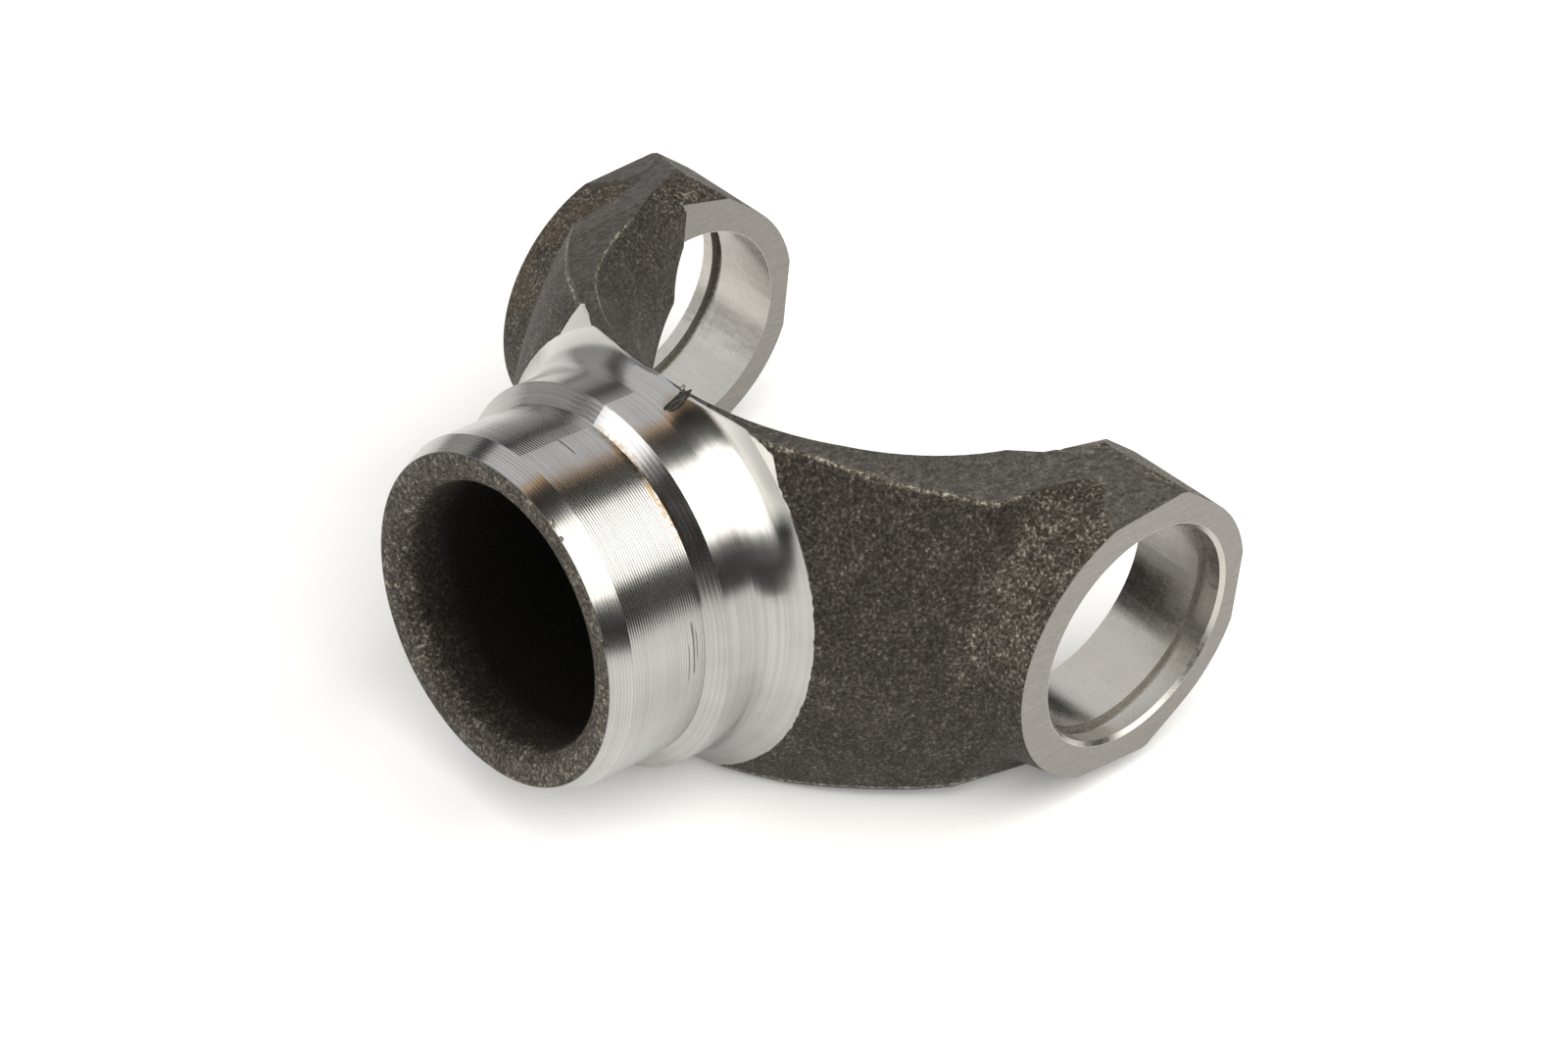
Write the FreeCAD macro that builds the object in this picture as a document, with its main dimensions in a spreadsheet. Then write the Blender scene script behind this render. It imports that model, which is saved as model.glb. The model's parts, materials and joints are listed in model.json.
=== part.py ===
import FreeCAD, Part
import Sketcher
import math
import os

# Forged weld yoke for a drive shaft.  One steel forging, machined where it is joined:
# a hollow hub whose turned pilot presses into a tube and whose bevel takes the weld,
# and two arms whose bored ears hold the bearing caps of a joint cross.
#
# Own frame: origin at the centre of the cross, where the hub axis meets the bore axis.
# X runs along the hub axis from the rim to the ears, Y along the cap bores, Z is up.
# The finished body is turned about Y until hub and ears both rest on the ground plane.

SIZES = (
    # name, millimetres (or degrees), what it is
    ("cap_bore", 30.0, "diameter of the two bearing cap bores"),
    ("ear_span", 96.9, "width over the milled outer faces of the ears"),
    ("ear_gap", 68.7, "gap between the milled inner faces of the ears"),
    ("ring_span", 88.5, "distance between the inner walls of the two ring grooves"),
    ("ring_groove", 1.9, "width of a ring groove"),
    ("ring_depth", 1.0, "depth of a ring groove below the bore"),
    ("rim_reach", 61.6, "from the cross centre to the rim of the hub"),
    ("rim_dia", 42.9, "outer diameter at the forged rim"),
    ("lead_in", 2.8, "length of the tapered start of the pilot"),
    ("pilot_dia", 45.5, "press fit diameter inside the tube"),
    ("pilot_end", 14.0, "from the rim to the start of the weld bevel"),
    ("bevel_end", 15.7, "from the rim to the end of the weld bevel"),
    ("collar_dia", 50.0, "diameter of the collar, the same as the tube outside"),
    ("collar_end", 20.4, "from the rim to the end of the collar"),
    ("flare_dia", 57.2, "diameter where the turned flare meets the forged skin"),
    ("flare_end", 25.8, "from the rim to the end of the turned flare"),
    ("shoulder_drop", 4.8, "from the outer face of an ear in to the bend of its arm"),
    ("shoulder_back", 18.1, "from the cross centre back to that bend"),
    ("side_bulge", 80.0, "radius of the swelling side between flare and bend"),
    ("arm_slope", 10.5, "angle of the arms behind the ears to the hub axis"),
    ("boss_dia", 39.8, "diameter of an ear boss at its milled face"),
    ("boss_draft", 10.5, "draft angle of an ear boss"),
    ("boss_foot", 20.6, "side distance at which a boss starts, buried in its arm"),
    ("tip_dia", 37.4, "diameter of the rounded tip of an ear"),
    ("tip_flat", 18.0, "from the cross centre to the flat on the tip"),
    ("tip_angle", 54.5, "angle at which the flank of the tip leaves the round"),
    ("crown_root", 29.0, "half height of the forging over the hub"),
    ("crown_arm", 27.0, "half height where the arms leave the hub"),
    ("crown_neck", 24.1, "half height of the trimmed land at the inner face of an ear"),
    ("crown_ear", 21.8, "half height of the trimmed land near the middle of an ear"),
    ("crown_face", 19.1, "half height at the outer face of an ear"),
    ("crown_break", 8.5, "from the cross centre back to where the ears start to fall"),
    ("crown_top", 23.2, "half height of the ears at that place"),
    ("crown_fall", 5.5, "angle at which the ears fall towards their tips"),
    ("arm_root", 22.5, "side distance at which the arms leave the hub"),
    ("land_start", 0.4, "from the inner face of an ear out to its trimmed land"),
    ("land_width", 6.4, "width of the trimmed land on an ear"),
    ("forge_draft", 4.4, "draft angle of the forging towards the hub"),
    ("crotch_dia", 58.2, "inner diameter between the arms at mid height"),
    ("crotch_turn", 71.0, "angle from the hub axis at which the round crotch ends"),
    ("crotch_wall", 12.0, "half height of the upright wall of the crotch"),
    ("crotch_ease", 18.0, "half height up to which it opens by half its lean"),
    ("crotch_lean", 37.2, "angle by which the crotch opens above that"),
    ("ear_chamfer", 20.2, "half height at which the inner faces of the ears lean out"),
    ("ear_lean", 63.8, "angle by which they lean out"),
    ("tip_lean", 57.1, "angle by which they lean out above the inner milled faces"),
    ("tip_fall", 12.0, "angle at which that leaning edge falls towards the tip"),
    ("crotch_over", 1.0, "how far the crotch is cut on above the forging"),
    ("forge_stock", 0.8, "forged skin left standing inside the milled inner face"),
    ("mill_stop", 2.7, "from the cross centre back to the end of the inner milling"),
    ("mouth_dia", 34.2, "diameter of the hub cavity just inside its lip"),
    ("lip_radius", 2.6, "radius of the lip of the hub cavity"),
    ("cavity_depth", 24.5, "depth of the blind cavity in the hub"),
    ("cavity_draft", 4.0, "draft angle of the cavity"),
    ("cavity_round", 7.0, "radius at the floor of the cavity"),
    ("neck_round", 4.0, "radius between an ear boss and its arm"),
    ("edge_break", 0.5, "small chamfer at the mouths of the cap bores"),
)


class Size:
    """A length that carries its number and the sheet formula that gives it."""

    def __init__(self, number, formula):
        self.number = float(number)
        self.formula = formula

    def join(self, other, sign, number):
        other_formula = other.formula if isinstance(other, Size) else repr(other)
        return Size(number, "(" + self.formula + " " + sign + " " + other_formula + ")")

    def __add__(self, other):
        return self.join(other, "+", self.number + plain(other))

    def __sub__(self, other):
        return self.join(other, "-", self.number - plain(other))

    def __mul__(self, other):
        return self.join(other, "*", self.number * plain(other))

    def __truediv__(self, other):
        return self.join(other, "/", self.number / plain(other))

    def __neg__(self):
        return self * -1.0


def plain(value):
    return value.number if isinstance(value, Size) else float(value)


def tangent(angle):
    return Size(math.tan(math.radians(angle.number)), "tan(" + angle.formula + ")")


def sine(angle):
    return Size(math.sin(math.radians(angle.number)), "sin(" + angle.formula + ")")


def cosine(angle):
    return Size(math.cos(math.radians(angle.number)), "cos(" + angle.formula + ")")


doc = FreeCAD.newDocument("yoke")
sheet = doc.addObject("Spreadsheet::Sheet", "Sizes")
size = {}
for row, (name, number, note) in enumerate(SIZES, start=1):
    sheet.set("A" + str(row), name)
    sheet.set("B" + str(row), str(number))
    sheet.set("C" + str(row), note)
    sheet.setAlias("B" + str(row), name)
    size[name] = Size(number, "Sizes." + name)
doc.recompute()

ZERO = Size(0.0, "0")
half_span = size["ear_span"] / 2
half_gap = size["ear_gap"] / 2
rim_x = -size["rim_reach"]
flare_x = rim_x + size["flare_end"]
shoulder_x = -size["shoulder_back"]
shoulder_r = half_span - size["shoulder_drop"]
bore_r = size["cap_bore"] / 2
tip_r = size["tip_dia"] / 2
crotch_r = size["crotch_dia"] / 2
mill_x = -size["mill_stop"]

# how far the working cutters run past the forging
CLEAR = 12.0
beyond_x = tip_r + CLEAR
beyond_y = half_span + CLEAR
beyond_z = shoulder_r + CLEAR * 2

yoke = doc.addObject("PartDesign::Body", "Yoke")
yoke.Label = "yoke"


def origin_part(role):
    for feature in yoke.Origin.OriginFeatures:
        if feature.Role == role:
            return feature
    raise ValueError("no origin feature " + role)


def new_sketch(name, plane, height=ZERO):
    sketch = yoke.newObject("Sketcher::SketchObject", name)
    sketch.AttachmentSupport = [(origin_part(plane), "")]
    sketch.MapMode = "FlatFace"
    sketch.AttachmentOffset = FreeCAD.Placement(
        FreeCAD.Vector(0, 0, height.number), FreeCAD.Rotation()
    )
    if height.number:
        sketch.setExpression("AttachmentOffset.Base.z", height.formula)
    return sketch


def arc_between(start, end, radius, turn):
    """Arc from start to end, turning left for turn = 1 and right for turn = -1."""
    a = FreeCAD.Vector(start[0].number, start[1].number, 0)
    b = FreeCAD.Vector(end[0].number, end[1].number, 0)
    half = (b - a).Length / 2
    across = FreeCAD.Vector(-(b - a).y, (b - a).x, 0).normalize() * turn
    centre = (a + b) / 2 + across * math.sqrt(max(radius.number**2 - half**2, 0))
    middle = centre - across * radius.number
    return Part.Arc(a, middle, b)


def trace(sketch, corners, arcs=None):
    """Draw the closed outline through the corners and bind every corner to the sheet.

    arcs maps the index of a side's first corner to its radius and its turn."""
    arcs = arcs or {}
    count = len(corners)
    ends = []
    for index in range(count):
        start = corners[index]
        end = corners[(index + 1) % count]
        if index in arcs:
            edge = sketch.addGeometry(arc_between(start, end, *arcs[index]), False)
            ends.append((edge, 1, 2) if arcs[index][1] > 0 else (edge, 2, 1))
        else:
            line = Part.LineSegment(
                FreeCAD.Vector(start[0].number, start[1].number, 0),
                FreeCAD.Vector(end[0].number, end[1].number, 0),
            )
            ends.append((sketch.addGeometry(line, False), 1, 2))
    for index in range(count):
        edge, first, last = ends[index]
        following = ends[(index + 1) % count]
        sketch.addConstraint(
            Sketcher.Constraint("Coincident", edge, last, following[0], following[1])
        )
    for index, corner in enumerate(corners):
        edge, first, last = ends[index]
        bind(sketch, "DistanceX", edge, first, corner[0], "x" + str(index))
        bind(sketch, "DistanceY", edge, first, corner[1], "y" + str(index))
    for index, (radius, turn) in arcs.items():
        number = sketch.addConstraint(
            Sketcher.Constraint("Radius", ends[index][0], radius.number)
        )
        sketch.renameConstraint(number, "radius" + str(index))
        sketch.setExpression("Constraints.radius" + str(index), radius.formula)


def bind(sketch, kind, edge, point, value, name):
    if value is ZERO:
        axis = -2 if kind == "DistanceX" else -1
        sketch.addConstraint(Sketcher.Constraint("PointOnObject", edge, point, axis))
        return
    number = sketch.addConstraint(
        Sketcher.Constraint(kind, -1, 1, edge, point, value.number)
    )
    sketch.renameConstraint(number, name)
    sketch.setExpression("Constraints." + name, value.formula)


def feature(kind, name, sketch):
    made = yoke.newObject("PartDesign::" + kind, name)
    made.Profile = (sketch, [""])
    return made


def about(made, role):
    made.ReferenceAxis = (origin_part(role), [""])
    made.Angle = 360


def mirror(name, originals, plane):
    made = yoke.newObject("PartDesign::Mirrored", name)
    made.Originals = originals
    made.MirrorPlane = (origin_part(plane), [""])
    yoke.Tip = made
    return made


def both_ways(pocket, length):
    """Cut to the same length on either side of the sketch."""
    pocket.SideType = "Symmetric"
    pocket.Type = "Length"
    pocket.setExpression("Length", (length * 2).formula)


volumes = []


def settle(name, grows):
    """Recompute and make sure that the newest feature really changed the solid."""
    doc.recompute()
    volume = yoke.Shape.Volume
    if volumes:
        changed = volume - volumes[-1]
        if grows and changed < 1.0 or not grows and changed > -1.0:
            raise RuntimeError(name + " changed the volume by " + str(changed))
    volumes.append(volume)
    print(name, "volume", round(volume), "valid", yoke.Shape.isValid())


# ---- outside of the hub and the common outer surface of both arms, turned about X
hub = new_sketch("HubProfile", "XZ_Plane")
collar_r = size["collar_dia"] / 2
flare_r = size["flare_dia"] / 2
flare_run = size["flare_end"] - size["collar_end"]
flare_lift = flare_r - collar_r
flare_radius = (flare_run * flare_run + flare_lift * flare_lift) / flare_lift / 2
back_r = shoulder_r + (beyond_x - shoulder_x) * tangent(size["arm_slope"])
trace(
    hub,
    [
        (rim_x, ZERO),
        (rim_x, size["rim_dia"] / 2),
        (rim_x + size["lead_in"], size["pilot_dia"] / 2),
        (rim_x + size["pilot_end"], size["pilot_dia"] / 2),
        (rim_x + size["bevel_end"], collar_r),
        (rim_x + size["collar_end"], collar_r),
        (flare_x, flare_r),
        (shoulder_x, shoulder_r),
        (beyond_x, back_r),
        (beyond_x, ZERO),
    ],
    {5: (flare_radius, 1), 6: (size["side_bulge"], -1)},
)
body = feature("Revolution", "TurnedBody", hub)
about(body, "X_Axis")
settle("TurnedBody", True)

# ---- ear bosses, cones about the bore axis that grow towards the arms
boss = new_sketch("BossProfile", "XY_Plane")
boss_r = size["boss_dia"] / 2
boss_foot = size["boss_foot"]
boss_foot_r = boss_r + (half_span - boss_foot) * tangent(size["boss_draft"])
trace(
    boss,
    [
        (ZERO, boss_foot),
        (boss_foot_r, boss_foot),
        (boss_r, half_span),
        (ZERO, half_span),
    ],
)
ear = feature("Revolution", "EarBoss", boss)
about(ear, "Y_Axis")
settle("EarBoss", True)
mirror("EarBosses", [ear], "XZ_Plane")
settle("EarBosses", True)

# ---- upper and lower outline: the trimmed land with its two slopes, seen along X
crown = new_sketch("CrownProfile", "YZ_Plane")
land_in = half_gap + size["land_start"]
land_out = land_in + size["land_width"]
fall = (size["crown_ear"] - size["crown_face"]) / (half_span - land_out)
edge_z = size["crown_face"] - fall * CLEAR
right_side = [
    (size["arm_root"], size["crown_arm"]),
    (land_in, size["crown_neck"]),
    (land_out, size["crown_ear"]),
    (half_span, size["crown_face"]),
    (beyond_y, edge_z),
    (beyond_y, beyond_z),
]
left_side = [(-y, z) for y, z in reversed(right_side)]
trace(crown, [(ZERO, size["crown_root"])] + right_side + left_side)
above = feature("Pocket", "CrownCut", crown)
both_ways(above, size["rim_reach"] + CLEAR)
above.UseCustomVector = True
above.Direction = FreeCAD.Vector(
    math.cos(math.radians(size["forge_draft"].number)),
    0,
    math.sin(math.radians(size["forge_draft"].number)),
)
above.setExpression("Direction.x", cosine(size["forge_draft"]).formula)
above.setExpression("Direction.z", sine(size["forge_draft"]).formula)
above.AlongSketchNormal = False
settle("CrownCut", False)
mirror("CrownCuts", [above], "XY_Plane")
settle("CrownCuts", False)

# ---- the ears fall a little from their highest place towards the tips, seen along Y
top = new_sketch("EarTopProfile", "XZ_Plane")
break_x = -size["crown_break"]
tip_z = size["crown_top"] - (beyond_x - break_x) * tangent(size["crown_fall"])
trace(
    top,
    [
        (break_x, size["crown_top"]),
        (beyond_x, tip_z),
        (beyond_x, beyond_z),
        (break_x, beyond_z),
    ],
)
fall_cut = feature("Pocket", "EarTop", top)
both_ways(fall_cut, beyond_y)
settle("EarTop", False)
mirror("EarTops", [fall_cut], "XY_Plane")
settle("EarTops", False)

# ---- rounded tips of the ears, with straight flanks and a small flat, seen along Y
tip = new_sketch("TipOutline", "XZ_Plane")
flank_x = tip_r * cosine(size["tip_angle"])
flank_z = tip_r * sine(size["tip_angle"])
high_x = (tip_r - beyond_z * sine(size["tip_angle"])) / cosine(size["tip_angle"])
flat_z = Size(
    math.sqrt(tip_r.number**2 - size["tip_flat"].number**2),
    "sqrt(" + (tip_r * tip_r - size["tip_flat"] * size["tip_flat"]).formula + ")",
)
upper = [
    (high_x, beyond_z),
    (flank_x, flank_z),
    (size["tip_flat"], flat_z),
]
lower = [(x, -z) for x, z in reversed(upper)]
trace(
    tip,
    upper + lower + [(beyond_x + CLEAR, -beyond_z), (beyond_x + CLEAR, beyond_z)],
    {1: (tip_r, -1), 3: (tip_r, -1)},
)
tips = feature("Pocket", "TipCut", tip)
both_ways(tips, beyond_y)
settle("TipCut", False)

# ---- forged space between the arms: a round crotch that opens towards the land


def crotch_section(name, height, radius, wall_y):
    """Plan of the crotch at one height: an arc about Z and a bent wall on each side."""
    sketch = new_sketch(name, "XY_Plane", height)
    turn_x = -radius * cosine(size["crotch_turn"])
    turn_y = radius * sine(size["crotch_turn"])
    half = [(beyond_x, wall_y), (mill_x, wall_y), (turn_x, turn_y)]
    trace(sketch, half + [(x, -y) for x, y in reversed(half)], {2: (radius, 1)})
    return sketch


skin_y = half_gap - size["forge_stock"]
lean = tangent(size["crotch_lean"])
half_lean = tangent(size["crotch_lean"] / 2)
ease_r = crotch_r + (size["crotch_ease"] - size["crotch_wall"]) * half_lean
chamfer_at_r = ease_r + (size["ear_chamfer"] - size["crotch_ease"]) * lean
open_z = size["crown_root"] + size["crotch_over"]
open_r = ease_r + (open_z - size["crotch_ease"]) * lean
open_y = skin_y + (open_z - size["ear_chamfer"]) * tangent(size["ear_lean"])
levels = [
    (size["crotch_wall"], crotch_r, skin_y),
    (size["crotch_ease"], ease_r, skin_y),
    (size["ear_chamfer"], chamfer_at_r, skin_y),
    (open_z, open_r, open_y),
]
levels = [(-height, radius, wall) for height, radius, wall in reversed(levels)] + levels
sections = []
for number, (height, radius, wall) in enumerate(levels, start=1):
    sections.append(crotch_section("Crotch" + str(number), height, radius, wall))
crotch = feature("SubtractiveLoft", "CrotchCut", sections[0])
crotch.Sections = [(section, [""]) for section in sections[1:]]
crotch.Ruled = True
settle("CrotchCut", False)

# ---- the leaning edge falls towards the tips, beside the milled inner faces
edge = new_sketch("TipLeanProfile", "YZ_Plane", mill_x)
low_y = half_gap - CLEAR
low_z = size["ear_chamfer"] - (skin_y - low_y) / tangent(size["tip_lean"])
high_z = size["ear_chamfer"] + (beyond_y - skin_y) / tangent(size["tip_lean"])
trace(
    edge,
    [
        (low_y, low_z),
        (beyond_y, high_z),
        (beyond_y, beyond_z),
        (low_y, beyond_z),
    ],
)
lean_cut = feature("Pocket", "TipLean", edge)
lean_cut.Type = "Length"
lean_cut.UseCustomVector = True
lean_cut.Direction = FreeCAD.Vector(
    math.cos(math.radians(size["tip_fall"].number)),
    0,
    -math.sin(math.radians(size["tip_fall"].number)),
)
lean_cut.setExpression("Direction.x", cosine(size["tip_fall"]).formula)
lean_cut.setExpression("Direction.z", "-" + sine(size["tip_fall"]).formula)
lean_cut.AlongSketchNormal = False
lean_cut.setExpression("Length", (beyond_x * 2).formula)
settle("TipLean", False)
mirror("TipLeanFar", [lean_cut], "XZ_Plane")
settle("TipLeanFar", False)
mirror("TipLeanLow", [lean_cut], "XY_Plane")
settle("TipLeanLow", False)

# ---- milled inner faces, which stop short of the hub side
gap = new_sketch("GapOutline", "XY_Plane")
trace(
    gap,
    [
        (mill_x, -half_gap),
        (beyond_x, -half_gap),
        (beyond_x, half_gap),
        (mill_x, half_gap),
    ],
)
milling = feature("Pocket", "InnerFaces", gap)
both_ways(milling, beyond_z)
settle("InnerFaces", False)

# ---- milled outer faces of the ears
face = new_sketch("FaceOutline", "XY_Plane")
trace(
    face,
    [
        (shoulder_x, half_span),
        (beyond_x, half_span),
        (beyond_x, beyond_y),
        (shoulder_x, beyond_y),
    ],
)
facing = feature("Pocket", "OuterFace", face)
both_ways(facing, beyond_z)
settle("OuterFace", False)
mirror("OuterFaces", [facing], "XZ_Plane")
settle("OuterFaces", False)

# ---- cap bores with their ring grooves and broken edges, turned about Y
bore = new_sketch("BoreProfile", "XY_Plane")
chamfer_r = bore_r + size["edge_break"]
groove_r = bore_r + size["ring_depth"]
groove_in = size["ring_span"] / 2
groove_out = groove_in + size["ring_groove"]
trace(
    bore,
    [
        (ZERO, ZERO),
        (bore_r, ZERO),
        (bore_r, groove_in),
        (groove_r, groove_in),
        (groove_r, groove_out),
        (bore_r, groove_out),
        (bore_r, half_span - size["edge_break"]),
        (chamfer_r, half_span),
        (chamfer_r, beyond_y),
        (ZERO, beyond_y),
    ],
)
boring = feature("Groove", "CapBore", bore)
about(boring, "Y_Axis")
settle("CapBore", False)
mirror("CapBores", [boring], "XZ_Plane")
settle("CapBores", False)

# ---- blind forged cavity of the hub, with a rounded lip and a rounded floor
ROUND_STEPS = 3


def quarter(centre_x, centre_r, radius, first, last):
    """Corners that take the quarter turn from the first angle to the last in a few steps."""
    corners = []
    for step in range(ROUND_STEPS + 1):
        angle = math.radians(first + (last - first) * step / ROUND_STEPS)
        corners.append((centre_x + radius * math.cos(angle), centre_r + radius * math.sin(angle)))
    return corners


cavity = new_sketch("CavityProfile", "XZ_Plane")
mouth_r = size["mouth_dia"] / 2
lip = size["lip_radius"]
bottom = size["cavity_round"]
floor_x = rim_x + size["cavity_depth"]
wall_r = mouth_r - (size["cavity_depth"] - bottom) * tangent(size["cavity_draft"])
trace(
    cavity,
    [(rim_x - CLEAR, ZERO), (rim_x - CLEAR, mouth_r + lip)]
    + quarter(rim_x + lip, mouth_r + lip, lip, 180, 270)
    + quarter(floor_x - bottom, wall_r - bottom, bottom, 90, 0)
    + [(floor_x, ZERO)],
)
hollow = feature("Groove", "HubCavity", cavity)
about(hollow, "X_Axis")
settle("HubCavity", False)


def faces_beside(edge):
    return [
        face
        for face in yoke.Shape.Faces
        if any(other.isSame(edge) for other in face.Edges)
    ]


def round_edges(name, test, count, radius):
    """Fillet the edges that pass the test, and make sure that there are as many as meant."""
    names = []
    for number, edge in enumerate(yoke.Shape.Edges, start=1):
        if test(edge):
            names.append("Edge" + str(number))
    if len(names) != count:
        raise RuntimeError(name + " found " + str(len(names)) + " edges")
    base = yoke.Tip
    made = yoke.newObject("PartDesign::Fillet", name)
    made.Base = (base, names)
    made.Radius = radius.number
    made.setExpression("Radius", radius.formula)
    yoke.Tip = made
    doc.recompute()
    if not made.Shape.isValid():
        raise RuntimeError(name + " is not valid")
    volumes.append(yoke.Shape.Volume)
    print(name, "volume", round(volumes[-1]), "valid", yoke.Shape.isValid())


ALONG = 0.99  # an axis counts as lying along X or Y above this


def is_boss(face):
    surface = face.Surface
    return surface.TypeId == "Part::GeomCone" and abs(surface.Axis.y) > ALONG


def is_arm(face):
    surface = face.Surface
    if surface.TypeId == "Part::GeomSurfaceOfRevolution":
        return True
    is_cone = surface.TypeId == "Part::GeomCone" and abs(surface.Axis.x) > ALONG
    return is_cone and face.BoundBox.XMax > shoulder_x.number + 1


def at_neck(edge):
    beside = faces_beside(edge)
    return any(map(is_boss, beside)) and any(map(is_arm, beside))


round_edges("NeckRound", at_neck, 6, size["neck_round"])


# ---- how the part lies: turned about Y until the hub and the ears touch the ground
MESH_FINENESS = 0.02
STEEPEST = 20.0
HALVINGS = 40


def lowest(points, angle):
    down = math.radians(angle)
    return min(point.z * math.cos(down) - point.x * math.sin(down) for point in points)


def rest_angle(points):
    middle = shoulder_x.number
    hub_points = [point for point in points if point.x < middle]
    ear_points = [point for point in points if point.x >= middle]
    low, high = 0.0, STEEPEST
    for halving in range(HALVINGS):
        angle = (low + high) / 2
        if lowest(hub_points, angle) < lowest(ear_points, angle):
            low = angle
        else:
            high = angle
    return (low + high) / 2


skin = yoke.Shape.tessellate(MESH_FINENESS)[0]
angle = rest_angle(skin)
down = lowest(skin, angle)
yoke.Placement = FreeCAD.Placement(
    FreeCAD.Vector(), FreeCAD.Rotation(FreeCAD.Vector(0, 1, 0), angle)
)
doc.recompute()
print("rest angle", round(angle, 3), "ground at z", round(down, 3))

for item in doc.Objects:
    for word in ("Invalid", "Error"):
        if word in item.State:
            raise RuntimeError(item.Name + " is " + word)
if yoke.Shape.isNull() or not yoke.Shape.isValid() or len(yoke.Shape.Solids) != 1:
    raise RuntimeError("yoke is not one valid solid")

os.makedirs("parts", exist_ok=True)
yoke.Shape.exportStep("parts/yoke.step")
print("yoke", round(yoke.Shape.Volume), "mm3", yoke.Shape.optimalBoundingBox())
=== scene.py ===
import bmesh
import bpy
import json
import math
from mathutils import Matrix, Vector, noise as lumps


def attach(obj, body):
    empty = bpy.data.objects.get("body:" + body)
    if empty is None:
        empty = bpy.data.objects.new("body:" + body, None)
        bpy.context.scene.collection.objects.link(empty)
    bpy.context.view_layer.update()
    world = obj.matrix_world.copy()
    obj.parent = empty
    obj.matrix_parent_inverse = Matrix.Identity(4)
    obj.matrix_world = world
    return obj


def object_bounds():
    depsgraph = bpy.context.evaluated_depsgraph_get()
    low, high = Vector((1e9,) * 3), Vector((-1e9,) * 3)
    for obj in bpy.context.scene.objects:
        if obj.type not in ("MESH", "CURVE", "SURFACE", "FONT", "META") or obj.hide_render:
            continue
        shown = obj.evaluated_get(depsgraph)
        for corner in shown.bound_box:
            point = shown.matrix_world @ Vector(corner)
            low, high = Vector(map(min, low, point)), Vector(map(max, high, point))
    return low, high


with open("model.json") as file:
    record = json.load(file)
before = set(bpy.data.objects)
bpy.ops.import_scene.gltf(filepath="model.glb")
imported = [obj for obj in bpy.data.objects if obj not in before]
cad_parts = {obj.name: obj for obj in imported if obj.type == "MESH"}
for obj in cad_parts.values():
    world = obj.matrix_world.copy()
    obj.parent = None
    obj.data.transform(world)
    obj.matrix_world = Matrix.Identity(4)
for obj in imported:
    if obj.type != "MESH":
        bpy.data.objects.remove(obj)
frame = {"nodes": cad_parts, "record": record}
cadBox = [list(corner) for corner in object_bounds()]
print("frame loaded")

# A forged weld yoke lying on hub and ears: bare turned steel on the hub, milled and bored ears,
# and dark blasted forging skin on everything else.

mounts = {mount["name"]: mount for mount in frame["record"]["mounts"]}
hubAxis = Vector(mounts["hub_pilot"]["axis"])
restTilt = math.atan2(hubAxis.z, -hubAxis.x)
groundZ = cadBox[0][2]
yoke = frame["nodes"]["yoke"]


class Wire:
    # a socket that can be written into sums, so shader maths reads as maths
    def __init__(self, tree, socket):
        self.tree = tree
        self.socket = socket

    def node(self, kind, settings, inputs, output=0):
        made = self.tree.nodes.new(kind)
        for name, value in settings.items():
            if name == "stops":
                fillRamp(made.color_ramp, value)
            else:
                setattr(made, name, value)
        for name, value in inputs.items():
            if isinstance(value, Wire):
                self.tree.links.new(value.socket, made.inputs[name])
            else:
                made.inputs[name].default_value = value
        return Wire(self.tree, made.outputs[output])

    def maths(self, operation, *values):
        inputs = dict(enumerate((self,) + values))
        return self.node("ShaderNodeMath", {"operation": operation}, inputs)

    def __add__(self, other):
        return self.maths("ADD", other)

    def __radd__(self, other):
        return self.maths("ADD", other)

    def __sub__(self, other):
        return self.maths("SUBTRACT", other)

    def __rsub__(self, other):
        return self.maths("MULTIPLY_ADD", -1.0, other)

    def __mul__(self, other):
        return self.maths("MULTIPLY", other)

    def __rmul__(self, other):
        return self.maths("MULTIPLY", other)

    def __abs__(self):
        return self.maths("ABSOLUTE")

    def above(self, edge, soft):
        # 0 below the edge and 1 above it, with a soft step between
        settings = {"interpolation_type": "SMOOTHSTEP"}
        ends = {"Value": self, "From Min": edge - soft, "From Max": edge + soft}
        return self.node("ShaderNodeMapRange", settings, ends)

    def below(self, edge, soft):
        return 1.0 - self.above(edge, soft)

    def ramp(self, low, high, start, end):
        ends = {"Value": self, "From Min": low, "From Max": high, "To Min": start, "To Max": end}
        return self.node("ShaderNodeMapRange", {}, ends)

    def tint(self, stops):
        return self.node("ShaderNodeValToRGB", {"stops": stops}, {"Fac": self})


def fillRamp(ramp, stops):
    while len(ramp.elements) < len(stops):
        ramp.elements.new(0.5)
    for element, (place, colour) in zip(ramp.elements, stops):
        element.position = place
        element.color = (*colour, 1.0)


def mixColour(factor, first, second):
    settings = {"data_type": "RGBA", "blend_type": "MIX"}
    inputs = {0: factor, 6: first, 7: second}
    return factor.node("ShaderNodeMix", settings, inputs, 2)


def noise(place, scale, detail=3.0, roughness=0.55):
    inputs = {"Vector": place, "Scale": scale, "Detail": detail, "Roughness": roughness}
    return place.node("ShaderNodeTexNoise", {}, inputs)


def stretched(place, scale):
    return place.node("ShaderNodeMapping", {}, {"Vector": place, "Scale": scale})


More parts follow.
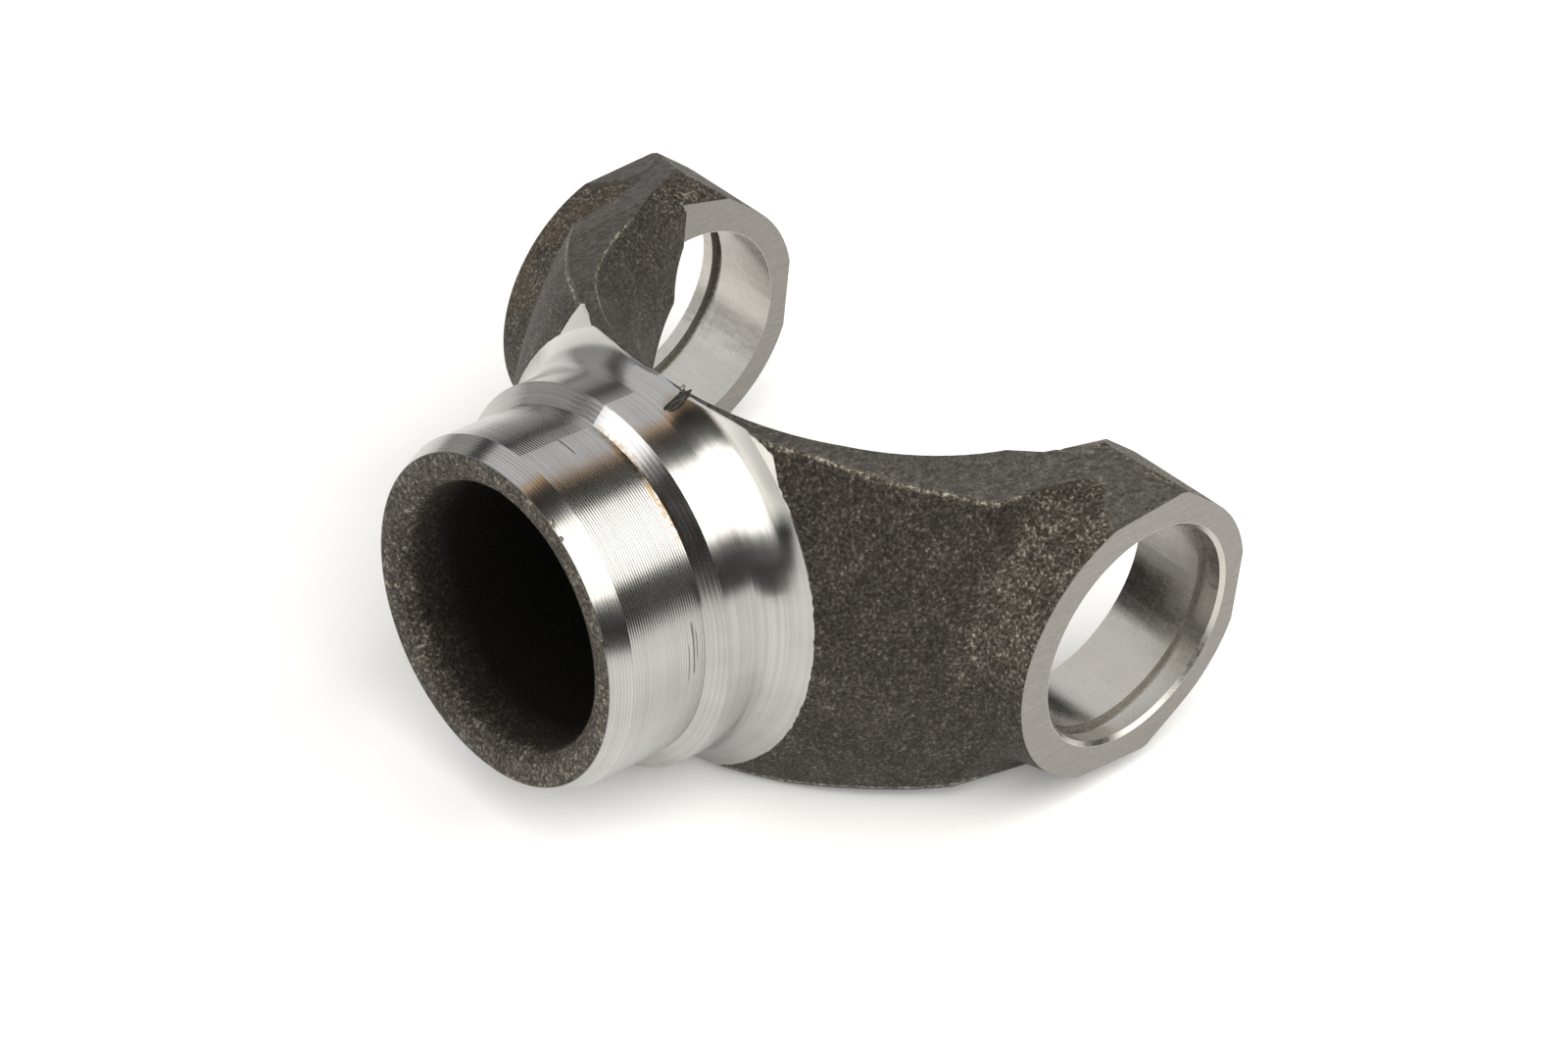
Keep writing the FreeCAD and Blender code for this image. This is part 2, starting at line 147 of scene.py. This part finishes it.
# where each finish lies, in millimetres from the cross centre with X along the hub
steelWork = {
    "rimRadius": 21.45,      # outer edge of the forged rim
    "mouthRadius": 17.1,
    "mouthX": -60.9,         # where the painted shade of the cavity begins
    "deepX": -53.5,          # from here on the cavity is painted black as shade
    "lipX": -59.6,           # inner end of the blasted rim and lip
    "collarEndX": -41.2,
    "collarRadius": 25.0,
    "flareEndX": -35.8,      # end of the turned flare
    "flareRadius": 28.6,
    "bevelX": (-47.6, -45.9),
    "bore": mounts["cap_bores"]["dims"]["r_mm"],
    "boreStart": 24.0,       # side distance from which the bores count
    "boreChamfer": 0.55,
    "chamferY": 47.9,
    "faceY": 48.45,          # milled outer faces
    "gapY": 34.35,           # milled inner faces
    "millX": -2.7,
    "grooveY": (44.25, 46.15),
    "grooveDepth": 1.1,
    "armEndX": -13.0,        # from here on the crown belongs to the ears
    "bossRadius": 23.6,
    "bossY": 33.0,           # side distance from which the boss stands free
    "rustY": 38.0,           # the back of the far ear is browner from here on
    "skinDepth": 0.45,       # how far below the flare the cutter still cleaned
    "ragged": 0.45,          # how far the edge of the turning wanders
    "corner": {"angle": 37.0, "width": 7.0, "nearSide": 0.7, "farSide": 2.6},
    "relief": 0.0002,        # metres of height for a bump of one
}
crisp = 0.02                 # half width of the step at a machined edge
firm = 0.05

# half height of the forging, from the middle out to the ears
crownLine = ((0.0, 29.0), (22.5, 27.0), (34.75, 24.1), (41.15, 21.8), (48.45, 19.1))
forgeDraft = 0.077

# marks left by handling on the turned steel: place along the hub, half width, angles round it
scratches = (
    (-52.9, 0.07, 0.0, 7.5),
    (-49.55, 0.08, 71.0, 88.0),
    (-49.05, 0.05, 74.0, 83.0),
    (-50.3, 0.04, 78.0, 90.0),
)


class SteelPlaces:
    # the masks that part the finishes, worked out from the place on the part
    def __init__(self, tree):
        start = Wire(tree, tree.nodes.new("ShaderNodeTexCoord").outputs["Object"])
        turn = {"Vector": start, "Rotation": (0.0, -restTilt, 0.0), "Scale": (1000.0,) * 3}
        self.place = start.node("ShaderNodeMapping", {}, turn)
        self.x, self.y, self.z = (
            self.place.node("ShaderNodeSeparateXYZ", {}, {"Vector": self.place}, axis)
            for axis in range(3)
        )
        self.side = abs(self.y)
        self.hubRadius = (self.y * self.y + self.z * self.z).maths("SQRT")
        self.boreRadius = (self.x * self.x + self.z * self.z).maths("SQRT")
        self.round = (self.y * -1.0).maths("ARCTAN2", self.z) * math.degrees(1.0)
        self.wander = noise(self.place, 0.9, 4.0, 0.6) - 0.5
        self.turned = self.turnedMask()
        self.under = self.depthUnderCrown()
        unturned = 1.0 - self.turned
        self.trimmed = self.under.below(0.25, 0.12) * unturned
        onArm = self.x.below(steelWork["armEndX"], 2.5) * unturned
        self.ridge = self.under.above(0.2, 0.1) * self.under.below(0.7, 0.25) * onArm
        besideBore = self.boreRadius.below(steelWork["bossRadius"], 1.4)
        self.boss = besideBore * self.side.above(steelWork["bossY"], 3.0)
        self.rim = self.x.below(steelWork["lipX"], 0.7) * unturned
        self.bored = self.boredMask()
        self.faced = self.side.above(steelWork["faceY"] - 0.06, 0.03)
        inner = abs(self.side - steelWork["gapY"]).below(firm, crisp)
        self.inner = inner * self.x.above(steelWork["millX"], firm)

    def turnedMask(self):
        work = steelWork
        run = work["flareEndX"] - work["collarEndX"]
        lift = work["flareRadius"] - work["collarRadius"]
        radius = (run * run + lift * lift) / lift / 2
        along = (self.x - work["collarEndX"]).maths("MAXIMUM", 0.0)
        flare = (radius * radius - along * along).maths("SQRT")
        lost = work["collarRadius"] + radius - flare - self.hubRadius
        onFlare = (lost + self.wander * 0.3).below(work["skinDepth"], 0.06)
        outside = self.hubRadius.above(work["rimRadius"] - 0.1, 0.08)
        onPilot = self.x.below(work["collarEndX"], firm) * outside
        before = (self.x + self.wander * work["ragged"]).below(work["flareEndX"] + 0.1, firm)
        later = self.x.above(work["collarEndX"], firm) * onFlare
        whole = (onPilot + later).maths("MINIMUM", 1.0) * before
        return whole.maths("MAXIMUM", self.cornerMask())

    def cornerMask(self):
        # where the turning runs out in a point over the corners of the crown
        corner = steelWork["corner"]
        near = abs(abs(self.round) - corner["angle"]) * (-1.0 / corner["width"]) + 1.0
        reach = self.y.above(0.0, 1.0).ramp(0.0, 1.0, corner["nearSide"], corner["farSide"])
        end = near.maths("MAXIMUM", 0.0) * reach + (steelWork["flareEndX"] + 0.1)
        inside = (self.x + self.wander * steelWork["ragged"] - end).below(0.0, firm)
        past = self.x.above(steelWork["flareEndX"] - 0.1, firm)
        return inside * past * near.above(0.0, crisp)

    def depthUnderCrown(self):
        height = self.x * forgeDraft + crownLine[0][1]
        for (nearY, nearZ), (farY, farZ) in zip(crownLine, crownLine[1:]):
            height = height + self.side.ramp(nearY, farY, 0.0, farZ - nearZ)
        return height - abs(self.z)

    def boredMask(self):
        work = steelWork
        bore = work["bore"]
        outside = self.side.above(work["boreStart"], 0.5)
        grooveStart, grooveEnd = work["grooveY"]
        groove = self.side.above(grooveStart, crisp) * self.side.below(grooveEnd, crisp)
        wall = self.boreRadius.below(bore + 0.06, crisp)
        deep = self.boreRadius.below(bore + work["grooveDepth"], crisp) * groove
        atMouth = self.side.above(work["chamferY"], crisp)
        edge = self.boreRadius.below(bore + work["boreChamfer"], crisp) * atMouth
        return (wall + deep + edge).maths("MINIMUM", 1.0) * outside

    def scratched(self):
        marks = 0.0
        for along, half, first, last in scratches:
            line = abs(self.x + self.wander * 0.15 - along).below(half, half * 0.6)
            marks = line * self.round.above(first, 1.5) * self.round.below(last, 1.5) + marks
        return marks.maths("MINIMUM", 1.0)


# blasted forging scale: dark, coarse-grained, with glints, and browner at the far ear; painted
# shade blackens the hub cavity, and painted highlights lighten the ridge and the upper boss flanks
forgedWork = {
    "grain": 2.2,            # cells per millimetre
    "pits": 3.4,
    "patches": 0.75,
    "clouds": 0.22,
    "tones": [
        (0.30, (0.008, 0.006, 0.005)),
        (0.45, (0.034, 0.028, 0.022)),
        (0.55, (0.074, 0.063, 0.050)),
        (0.65, (0.170, 0.150, 0.122)),
        (0.76, (0.62, 0.57, 0.47)),
    ],
    "rust": (0.105, 0.070, 0.042, 1.0),
    # black of the painted shade deep in the hub cavity
    "soot": (0.002, 0.0015, 0.001, 1.0),
    "metal": 0.55,
}


def forgedSkin(places):
    work = steelWork
    skin = forgedWork
    grain = noise(places.place, skin["grain"], 6.0, 0.72)
    pits = noise(places.place, skin["pits"], 3.0, 0.6)
    cloud = noise(places.place, skin["clouds"], 3.0)
    patch = noise(places.place, skin["patches"], 3.0, 0.6)
    # painted light: the boss flanks are lighter on their upper side, where the light falls
    litUpperSide = places.z.above(-2.0, 9.0)
    # painted highlight: the band along the ridge just below the trimmed land is lighter
    lighter = places.ridge * 0.15 + places.boss * litUpperSide * 0.08 + places.rim * 0.07
    tone = grain * 1.1 + cloud * 0.16 + patch * 0.22 + lighter - 0.25
    rust = cloud.above(0.5, 0.12) * places.y.above(work["rustY"], 4.0)
    browned = mixColour(rust * 0.45, tone.tint(skin["tones"]), skin["rust"])
    # painted shade: the hub cavity darkens from its mouth inwards to black
    inCavity = places.hubRadius.below(work["mouthRadius"] + 0.2, 0.6)
    soot = places.x.ramp(work["mouthX"], work["deepX"], 0.0, 1.0) * inCavity
    colour = mixColour(soot * 0.96, browned, skin["soot"])
    glint = pits.above(0.58, 0.05)
    rough = 0.60 - glint * 0.32 + soot * 0.25
    height = (grain * 2.9 + pits * 1.0 + cloud * 1.2) * (1.0 - places.trimmed * 0.5)
    return colour, rough, height


# where the flash was sheared off: the same steel, dragged smoother and greyer
landWork = {
    "drag": (0.5, 0.9, 2.0),
    "tones": [
        (0.32, (0.022, 0.019, 0.017)),
        (0.47, (0.070, 0.063, 0.056)),
        (0.58, (0.125, 0.115, 0.102)),
        (0.74, (0.40, 0.37, 0.32)),
    ],
    "metal": 0.6,
}


def trimmedLand(places):
    drag = noise(stretched(places.place, landWork["drag"]), 1.4, 5.0, 0.68)
    speck = noise(places.place, 2.6, 4.0, 0.7)
    tone = drag * 0.5 + speck * 0.5
    return tone.tint(landWork["tones"]), tone.ramp(0.35, 0.7, 0.58, 0.38), tone * 1.6


turnedWork = {
    "feed": 0.37,            # millimetres of feed on the pilot
    "tones": [
        (0.30, (0.27, 0.262, 0.250)),
        (0.50, (0.42, 0.411, 0.398)),
        (0.72, (0.55, 0.541, 0.527)),
    ],
    "oil": (0.26, 0.15, 0.045, 1.0),
    "oilAngles": (4.0, 46.0),
    "scratch": (0.05, 0.045, 0.04, 1.0),
    # colour of the painted highlight along the top of the flare's end
    "edge": (0.90, 0.88, 0.84, 1.0),
    "edgeWidth": 1.3,        # width of the painted highlight strip where the flare runs out on top
    "edgeAngle": 52.0,
}


def turnedSteel(places):
    work = steelWork
    turning = turnedWork
    feedWave = (places.x * (math.tau / turning["feed"])).maths("SINE")
    ring = noise(stretched(places.place, (3.0, 0.02, 0.02)), 1.0, 3.0)
    smear = noise(stretched(places.place, (0.10, 0.3, 0.3)), 0.6, 2.0)
    bevelStart, bevelEnd = work["bevelX"]
    onPilot = places.x.below(bevelStart + 0.1, 0.1)
    onBevel = places.x.below(bevelEnd + 0.2, 0.1)
    cut = onPilot * 0.55 + onBevel * 0.35 + 0.1
    # painted highlight: a bright strip on top of the flare's end, where the light falls
    onTop = abs(places.round).below(turning["edgeAngle"], 4.0)
    edgeHighlight = places.x.above(work["flareEndX"] - turning["edgeWidth"], 0.4) * onTop
    tone = ring * 0.28 + smear * 0.22 + feedWave * cut * 0.07 + 0.25
    oilFirst, oilLast = turning["oilAngles"]
    oilBand = abs(places.x - bevelStart + 0.2).below(0.5, 0.35) * places.round.above(oilFirst, 8.0)
    drops = noise(places.place, 1.3, 4.0, 0.7).above(0.5, 0.06)
    oil = oilBand * places.round.below(oilLast, 6.0) * drops
    oiled = mixColour(oil * 0.8, tone.tint(turning["tones"]), turning["oil"])
    scored = places.scratched()
    marked = mixColour(scored * 0.75, oiled, turning["scratch"])
    colour = mixColour(edgeHighlight * 0.8, marked, turning["edge"])
    rough = smear.ramp(0.3, 0.7, 0.17, 0.23) + scored * 0.3 + edgeHighlight * 0.3
    height = feedWave * cut * 0.035 + ring * 0.02 - scored * 0.15
    return colour, rough, height


# faint cross-cuts of the face mill over a fine grain
milledWork = {
    "grain": (0.5, 1.0, 1.4),
    "sweep": (0.12, 1.0, 2.2),
    "tones": [
        (0.30, (0.225, 0.215, 0.200)),
        (0.50, (0.272, 0.260, 0.243)),
        (0.72, (0.325, 0.311, 0.292)),
    ],
}


def milledSteel(places):
    grain = noise(stretched(places.place, milledWork["grain"]), 1.8, 4.0, 0.62)
    sweep = noise(stretched(places.place, milledWork["sweep"]), 1.1, 3.0)
    tone = grain * 0.55 + sweep * 0.45
    return tone.tint(milledWork["tones"]), tone.ramp(0.35, 0.65, 0.36, 0.44), tone * 0.05


# rings of the boring bar and faint marks along the bore
boredWork = {
    "ring": (0.05, 3.2, 0.05),
    "fleck": (1.2, 0.25, 1.2),
    "tones": [
        (0.30, (0.47, 0.450, 0.415)),
        (0.50, (0.52, 0.500, 0.465)),
        (0.72, (0.57, 0.550, 0.515)),
    ],
}


def boredSteel(places):
    ring = noise(stretched(places.place, boredWork["ring"]), 1.0, 3.0)
    fleck = noise(stretched(places.place, boredWork["fleck"]), 1.3, 2.0, 0.5)
    tone = ring * 0.35 + fleck * 0.65
    return tone.tint(boredWork["tones"]), tone.ramp(0.35, 0.65, 0.24, 0.30), tone * 0.008


def makeSteel():
    steel = bpy.data.materials.new("forgedSteel")
    steel.use_nodes = True
    tree = steel.node_tree
    shader = tree.nodes["Principled BSDF"]
    places = SteelPlaces(tree)
    colour, rough, height = forgedSkin(places)
    metal = forgedWork["metal"]
    bare = 1.0
    finishes = (
        (places.trimmed, trimmedLand(places), landWork["metal"]),
        (places.turned, turnedSteel(places), bare),
        (places.faced, milledSteel(places), bare),
        (places.inner, milledSteel(places), bare),
        (places.bored, boredSteel(places), bare),
    )
    for mask, (nextColour, nextRough, nextHeight), nextMetal in finishes:
        colour = mixColour(mask, colour, nextColour)
        kept = 1.0 - mask
        rough = rough * kept + nextRough * mask
        height = height * kept + nextHeight * mask
        metal = kept * metal + mask * nextMetal
    relief = {"Height": height, "Strength": 1.0, "Distance": steelWork["relief"]}
    bump = height.node("ShaderNodeBump", {}, relief)
    ends = {"Base Color": colour, "Roughness": rough, "Metallic": metal, "Normal": bump}
    for name, wire in ends.items():
        tree.links.new(wire.socket, shader.inputs[name])
    return steel


steel = makeSteel()
for index in range(len(yoke.material_slots)):
    yoke.material_slots[index].material = steel
print("steel finished")


def makeMarkMetal(name, low, high, rough, metallic, scale):
    # a grainy metal for the small marks
    made = bpy.data.materials.new(name)
    made.use_nodes = True
    tree = made.node_tree
    shader = tree.nodes["Principled BSDF"]
    start = Wire(tree, tree.nodes.new("ShaderNodeTexCoord").outputs["Object"])
    grain = noise(start, scale, 4.0, 0.7)
    tree.links.new(grain.tint([(0.35, low), (0.7, high)]).socket, shader.inputs["Base Color"])
    shader.inputs["Roughness"].default_value = rough
    shader.inputs["Metallic"].default_value = metallic
    return made


# darkest and lightest tone, roughness, metal, and grains per metre
markMetalWork = {
    # black used as painted shade inside the saddle nick and for the dark lower rim burr
    "scaleBlack": ((0.002, 0.002, 0.002), (0.05, 0.045, 0.04), 0.5, 0.3, 2600.0),
    "crumbSteel": ((0.05, 0.042, 0.035), (0.45, 0.42, 0.36), 0.35, 0.9, 1800.0),
}
markMetals = {name: makeMarkMetal(name, *work) for name, work in markMetalWork.items()}

# small marks: place along the hub, angle round it, distance from its axis, slope of the skin there,
# half sizes along, across and out of the skin, and metal
markWork = {
    # the saddle nick is a dark lens of painted shade where the dent lies; its lip is raised steel
    "saddleNick": (-38.8, 10.7, 25.62, 26.0, (2.15, 0.62, 0.34), "scaleBlack"),
    "saddleNickLip": (-37.2, 8.6, 26.50, 40.0, (0.42, 0.26, 0.24), "crumbSteel"),
    "rimBurrUpper": (-61.35, 25.0, 21.55, 25.0, (0.34, 0.62, 0.30), "crumbSteel"),
    "rimBurrLower": (-61.45, 66.5, 21.50, 25.0, (0.36, 0.50, 0.34), "scaleBlack"),
    "rimBurrSide": (-61.45, 31.0, 21.50, 25.0, (0.22, 0.36, 0.20), "crumbSteel"),
}
markLumps = {"size": 1.6, "depth": 0.45}


def makeMark(name, along, angle, radius, slope, halfSizes, metal):
    mesh = bmesh.new()
    bmesh.ops.create_icosphere(mesh, subdivisions=4, radius=1.0)
    for vertex in mesh.verts:
        lump = lumps.noise(vertex.co * markLumps["size"] + Vector((along, angle, radius)))
        vertex.co *= 1.0 + markLumps["depth"] * lump
    turn = math.radians(angle)
    lean = math.radians(slope)
    outward = Vector((0.0, -math.sin(turn), math.cos(turn)))
    run = Vector((math.cos(lean), 0.0, 0.0)) + outward * math.sin(lean)
    up = Vector((-math.sin(lean), 0.0, 0.0)) + outward * math.cos(lean)
    frameTurn = Matrix((run, up.cross(run), up)).transposed().to_4x4()
    spot = Vector((along, 0.0, 0.0)) + outward * radius
    tilt = Matrix.Rotation(restTilt, 4, "Y")
    place = tilt @ Matrix.Scale(0.001, 4) @ Matrix.Translation(spot) @ frameTurn
    bmesh.ops.scale(mesh, vec=halfSizes, verts=mesh.verts)
    bmesh.ops.transform(mesh, matrix=place, verts=mesh.verts)
    for face in mesh.faces:
        face.smooth = True
    data = bpy.data.meshes.new(name)
    mesh.to_mesh(data)
    mesh.free()
    data.materials.append(markMetals[metal])
    mark = bpy.data.objects.new(name, data)
    bpy.context.scene.collection.objects.link(mark)
    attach(mark, "root")


for name, work in markWork.items():
    makeMark(name, *work)
print("nick and burrs made")

# pale floor
floorWork = {
    "reach": 3.0,
    "colour": (0.93, 0.93, 0.93, 1.0),
    "rough": 0.6,
    "shine": 0.2,
    "glow": 0.14,
}


def makeFloor():
    mesh = bmesh.new()
    bmesh.ops.create_grid(mesh, x_segments=1, y_segments=1, size=floorWork["reach"])
    bmesh.ops.translate(mesh, vec=(0.0, 0.0, groundZ), verts=mesh.verts)
    data = bpy.data.meshes.new("floor")
    mesh.to_mesh(data)
    mesh.free()
    floor = bpy.data.objects.new("floor", data)
    bpy.context.scene.collection.objects.link(floor)
    paint = bpy.data.materials.new("floorPaint")
    paint.use_nodes = True
    shader = paint.node_tree.nodes["Principled BSDF"]
    shader.inputs["Base Color"].default_value = floorWork["colour"]
    shader.inputs["Roughness"].default_value = floorWork["rough"]
    shader.inputs["Specular IOR Level"].default_value = floorWork["shine"]
    shader.inputs["Emission Color"].default_value = (1.0, 1.0, 1.0, 1.0)
    shader.inputs["Emission Strength"].default_value = floorWork["glow"]
    data.materials.append(paint)


makeFloor()

# soft studio light: two long softboxes with a dark gap between them, a warm strip at the gap,
# a small panel low in front and a dim wall on the left; each has a direction, distance, size,
# brightness and colour
studioLights = {
    "rightSoftbox": ((0.0, -0.566, 0.824), 1.0, (2.2, 0.92), 3.3, (1.0, 0.985, 0.94)),
    "leftSoftbox": ((0.0, 0.609, 0.793), 1.0, (2.2, 0.60), 1.0, (0.97, 0.98, 1.0)),
    "warmStrip": ((0.0, 0.31, 0.951), 0.98, (2.2, 0.045), 1.5, (1.0, 0.60, 0.24)),
    "frontPanel": ((-0.80, 0.38, 0.46), 1.1, (0.42, 0.50), 2.6, (1.0, 1.0, 1.0)),
    "leftWall": ((-0.25, 0.96, 0.22), 1.2, (3.0, 0.50), 0.50, (1.0, 0.98, 0.94)),
}
roomLight = 0.03


def makeLights():
    for name, (heading, distance, (long, wide), bright, colour) in studioLights.items():
        lamp = bpy.data.lights.new(name, "AREA")
        lamp.shape = "RECTANGLE"
        lamp.size = long
        lamp.size_y = wide
        lamp.energy = bright * math.pi * long * wide
        lamp.color = colour
        inward = -Vector(heading).normalized()
        across = Vector((0.0, 1.0, 0.0)) if abs(inward.x) > 0.5 else Vector((1.0, 0.0, 0.0))
        side = (across - inward * across.dot(inward)).normalized()
        turn = Matrix((side, (-inward).cross(side), -inward)).transposed().to_4x4()
        holder = bpy.data.objects.new(name, lamp)
        holder.matrix_world = Matrix.Translation(-inward * distance) @ turn
        bpy.context.scene.collection.objects.link(holder)


def makeWorld():
    world = bpy.data.worlds.new("studio")
    world.use_nodes = True
    background = world.node_tree.nodes["Background"]
    background.inputs["Color"].default_value = (1.0, 1.0, 1.0, 1.0)
    background.inputs["Strength"].default_value = roomLight
    bpy.context.scene.world = world


makeLights()
makeWorld()
print("studio lit")

# camera
cameraWork = {
    "azimuth": 47.02,      # heading of the view, in degrees from +X towards +Y
    "elevation": -38.76,
    "roll": 0.89,
    "lens": 98.14,
    "distance": 0.5472,
    "aim": (-0.01134, 0.00276, -0.00712),
}


def makeCamera():
    work = cameraWork
    heading = math.radians(work["azimuth"])
    rise = math.radians(work["elevation"])
    level = math.cos(rise)
    forward = Vector((level * math.cos(heading), level * math.sin(heading), math.sin(rise)))
    lens = bpy.data.cameras.new("studioCamera")
    lens.sensor_width = 36.0
    lens.lens = work["lens"]
    lens.clip_start = 0.01
    holder = bpy.data.objects.new("studioCamera", lens)
    roll = Matrix.Rotation(math.radians(work["roll"]), 3, "Z")
    turn = (forward.to_track_quat("-Z", "Y").to_matrix() @ roll).to_4x4()
    spot = Vector(work["aim"]) - forward * work["distance"]
    holder.matrix_world = Matrix.Translation(spot) @ turn
    bpy.context.scene.collection.objects.link(holder)
    bpy.context.scene.camera = holder


makeCamera()
bpy.context.scene.view_settings.view_transform = "Standard"
print("camera set")
